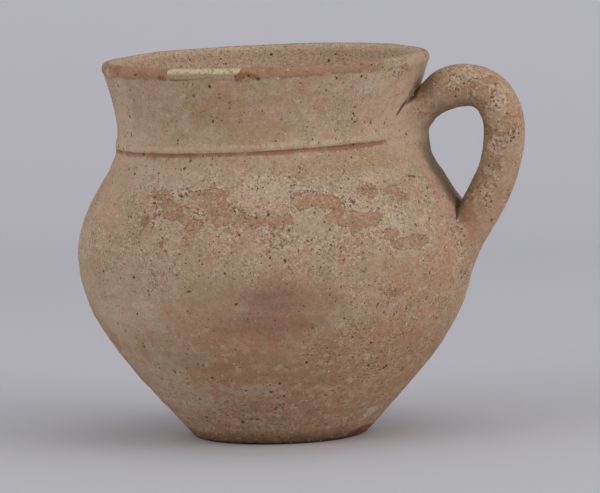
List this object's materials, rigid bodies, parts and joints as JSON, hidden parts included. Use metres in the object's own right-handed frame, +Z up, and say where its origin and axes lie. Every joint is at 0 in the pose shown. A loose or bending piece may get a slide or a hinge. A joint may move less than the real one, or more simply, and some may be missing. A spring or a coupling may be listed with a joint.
{
  "type": "cup",
  "caption": "Round-bellied earthenware cup with a flared collar neck and one loop handle, for drinking.",
  "frame": {"origin": "centre of the foot's flat resting face, on the surface that the cup stands on", "axes": "+Z up along the vessel's axis, +X towards the handle"},
  "size_m": [0.1248, 0.1084, 0.1045],
  "materials": {
    "slipped_earthenware": "matt, unglazed, worn buff slip over a pinker body",
    "fill_plaster": "matt, smoothed plaster"
  },
  "bodies": {
    "root": {"bowl": "slipped_earthenware", "neck_collar": "slipped_earthenware", "handle": "slipped_earthenware", "rim_fill": "fill_plaster"}
  },
  "joints": []
}
